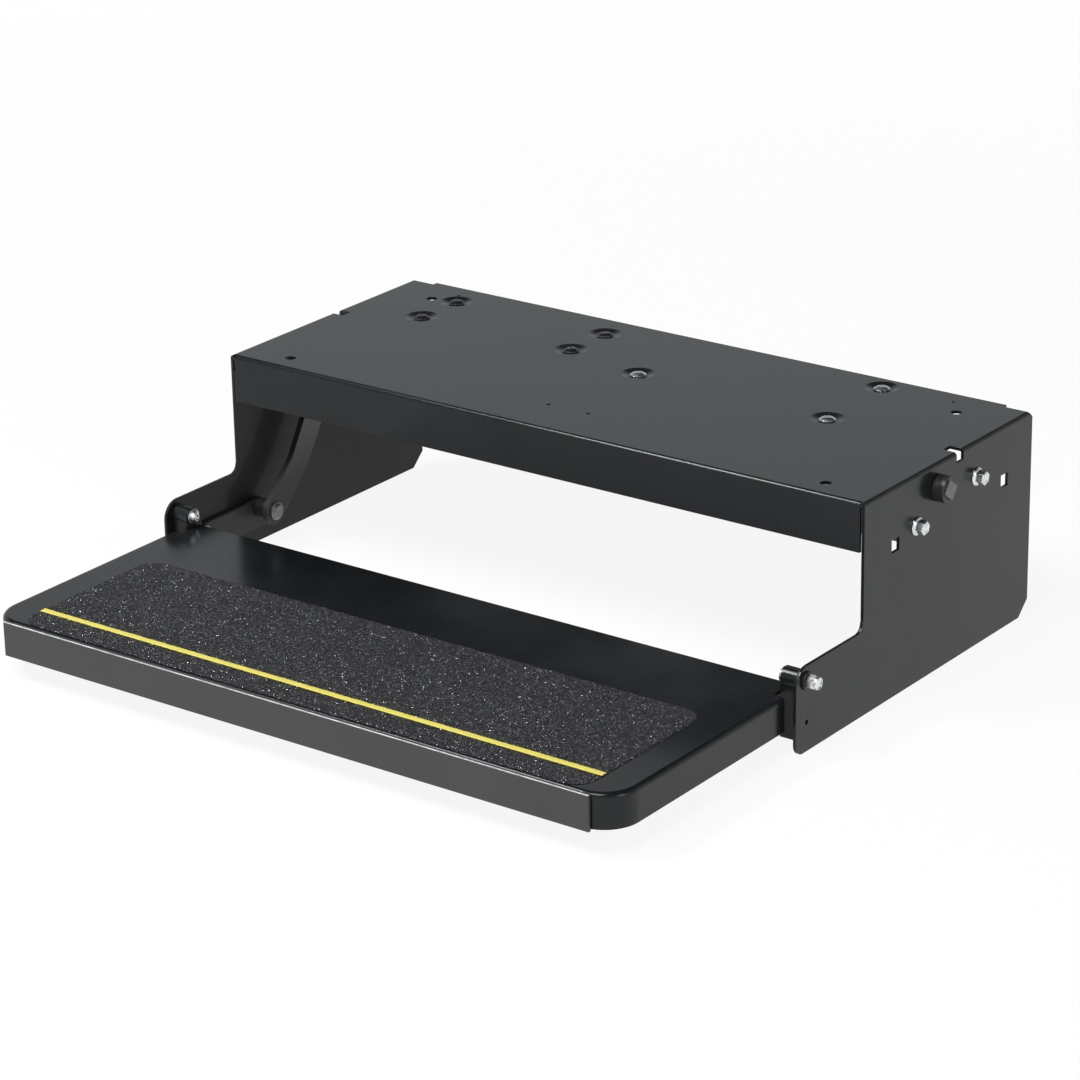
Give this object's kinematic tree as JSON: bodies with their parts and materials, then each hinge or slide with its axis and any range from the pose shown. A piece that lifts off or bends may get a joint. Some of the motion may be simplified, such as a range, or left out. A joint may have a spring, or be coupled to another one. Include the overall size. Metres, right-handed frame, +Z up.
{
  "type": "caravan pull out step",
  "caption": "Motor driven entrance step: a folded black steel housing bolts under the floor and its low arms carry a wide tread with a grip mat that folds up.",
  "frame": {"origin": "middle of the four mounting holes, on the upper face of the housing's top plate", "axes": "+X across the width, to the right for someone facing the step, -Y towards the tread's front edge, +Z up out of the top plate"},
  "size_m": [0.623, 0.5435, 0.1684],
  "materials": {
    "black_paint": "satin gloss black powder coat on folded steel",
    "fascia_paint": "satin black paint",
    "zinc": "bright zinc plate",
    "dark_steel": "dull dark steel",
    "black_screws": "black coated steel",
    "die_cast": "matt die cast",
    "motor_steel": "grey enamel",
    "black_plastic": "black nylon",
    "buffer_rubber": "matt rubber",
    "grip": "coarse sparkling grit",
    "yellow_line": "plain yellow line"
  },
  "bodies": {
    "housing_body": {"housing": "black_paint", "corner_welds": "black_paint", "bearing_plate_l": "dark_steel", "bearing_plate_r": "dark_steel", "bearing_bolts": "zinc", "gear_case": "die_cast", "gear_cover": "die_cast", "gear_screws": "zinc", "motor_can": "motor_steel", "motor_cap": "black_plastic", "motor_bracket": "black_paint", "bracket_screws": "zinc", "bracket_nuts": "zinc", "control_box": "black_plastic", "control_lid": "black_plastic", "control_screws": "black_screws", "inlet_socket": "black_plastic", "stop_buffer": "buffer_rubber", "buffer_stud": "dark_steel", "hinge_bolts": "zinc", "hinge_nut": "zinc", "hinge_washer": "black_plastic", "hinge_shims": "black_plastic"},
    "tread_body": {"tread_pan": "black_paint", "tread_fascia": "fascia_paint", "grip_mat": "grip", "mat_stripe": "yellow_line", "hinge_bracket_l": "black_paint", "hinge_bracket_r": "black_paint", "hinge_sleeves": "black_paint", "link_pin": "dark_steel"},
    "crank_body": {"drive_shaft": "dark_steel", "shaft_bush_l": "black_plastic", "shaft_bush_r": "black_plastic", "crank": "black_paint", "crank_pin": "dark_steel", "pin_spacer": "black_plastic"},
    "bar_body": {"flat_bar": "black_paint"}
  },
  "joints": [
    {"name": "tread_fold", "type": "hinge", "parent": "housing_body", "child": "tread_body", "pos_m": [0, -0.187, -0.1115], "axis": [-1, 0, 0], "range_deg": [0, 90]},
    {"name": "shaft_turn", "type": "hinge", "parent": "housing_body", "child": "crank_body", "pos_m": [0, -0.01, -0.0195], "axis": [-1, 0, 0], "range_deg": [0, 20.2]},
    {"name": "bar_swing", "type": "hinge", "parent": "crank_body", "child": "bar_body", "pos_m": [-0.29475, -0.093, -0.1355], "axis": [-1, 0, 0], "range_deg": [-46.7, 0]}
  ],
  "couplings": [
    {"joint": "shaft_turn", "follows": "tread_fold", "ratio": 0.2242},
    {"joint": "bar_swing", "follows": "tread_fold", "ratio": -0.5186}
  ]
}
